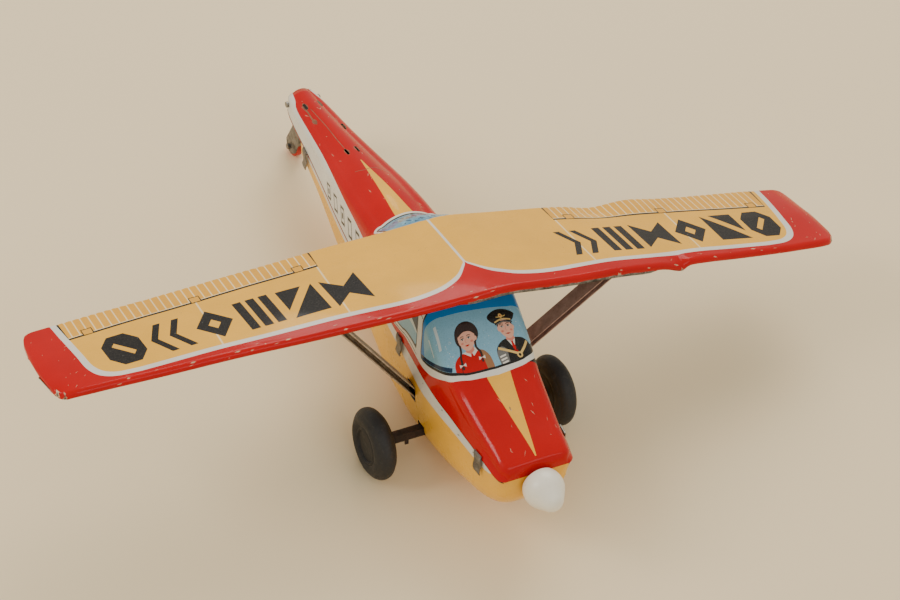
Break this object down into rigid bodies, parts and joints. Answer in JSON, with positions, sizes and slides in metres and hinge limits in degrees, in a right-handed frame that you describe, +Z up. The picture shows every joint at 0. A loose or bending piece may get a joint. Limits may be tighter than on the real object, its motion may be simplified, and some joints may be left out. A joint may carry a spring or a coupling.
{
  "type": "toy airplane",
  "caption": "High-wing tinplate toy airplane on rubber wheels and a small tail wheel, with folded struts, a geared friction flywheel inside and a turning nose spinner.",
  "frame": {"origin": "bottom centre of the bounding box, on the floor the wheels stand on", "axes": "+Z up from the floor, nose towards -Y, +X towards the airplane's own left wing tip"},
  "size_m": [0.3416, 0.2472, 0.0897],
  "materials": {
    "red_print": "glossy lithographed enamel",
    "cream_print": "glossy lithographed enamel",
    "wing_print": "glossy lithographed enamel",
    "strut_tin": "dull tarnished tin",
    "dark_tin": "brown tarnished tin",
    "bare_tin": "bare tin, slightly worn",
    "steel_wire": "drawn steel wire",
    "brass": "satin",
    "cast_lead": "dull cast",
    "black_rubber": "matt, slightly dusty",
    "red_plastic": "matt",
    "ivory_plastic": "soft gloss"
  },
  "bodies": {
    "airframe": {"upper_shell": "red_print", "lower_shell": "cream_print", "wing": "wing_print", "strut_left": "strut_tin", "strut_right": "strut_tin", "gear_channel_left": "dark_tin", "gear_channel_right": "dark_tin", "motor_plate_left": "bare_tin", "motor_plate_right": "bare_tin", "motor_tie_bars": "steel_wire", "shaft_bracket": "bare_tin", "nose_bush": "brass", "tail_bracket": "strut_tin", "tail_axle": "steel_wire", "tail_pin": "dark_tin"},
    "main_wheels": {"main_axle": "steel_wire", "wheel_left": "black_rubber", "wheel_right": "black_rubber", "axle_gear": "brass"},
    "middle_gears": {"middle_shaft": "steel_wire", "middle_pinion": "brass", "middle_gear": "brass"},
    "flywheel_set": {"flywheel_shaft": "steel_wire", "flywheel_pinion": "brass", "flywheel": "cast_lead", "crown_gear": "bare_tin"},
    "propeller_drive": {"prop_shaft": "steel_wire", "prop_pinion": "brass", "prop_collar": "brass", "spinner": "ivory_plastic"},
    "tail_wheel": {"tail_wheel": "red_plastic"}
  },
  "joints": [
    {"name": "axle_spin", "type": "hinge", "parent": "airframe", "child": "main_wheels", "pos_m": [0, -0.05205, 0.015], "axis": [1, 0, 0], "continuous": true},
    {"name": "middle_spin", "type": "hinge", "parent": "airframe", "child": "middle_gears", "pos_m": [0, -0.04547, 0.02406], "axis": [1, 0, 0], "continuous": true},
    {"name": "flywheel_spin", "type": "hinge", "parent": "airframe", "child": "flywheel_set", "pos_m": [0, -0.04215, 0.03549], "axis": [1, 0, 0], "continuous": true},
    {"name": "spinner_spin", "type": "hinge", "parent": "airframe", "child": "propeller_drive", "pos_m": [0, -0.11272, 0.04287], "axis": [0, -0.9946, 0.1041], "continuous": true},
    {"name": "tail_wheel_spin", "type": "hinge", "parent": "airframe", "child": "tail_wheel", "pos_m": [0, 0.11858, 0.005], "axis": [1, 0, 0], "continuous": true}
  ],
  "couplings": [
    {"joint": "middle_spin", "follows": "axle_spin", "ratio": -2.2},
    {"joint": "flywheel_spin", "follows": "axle_spin", "ratio": 5.28},
    {"joint": "spinner_spin", "follows": "axle_spin", "ratio": -5.28}
  ]
}
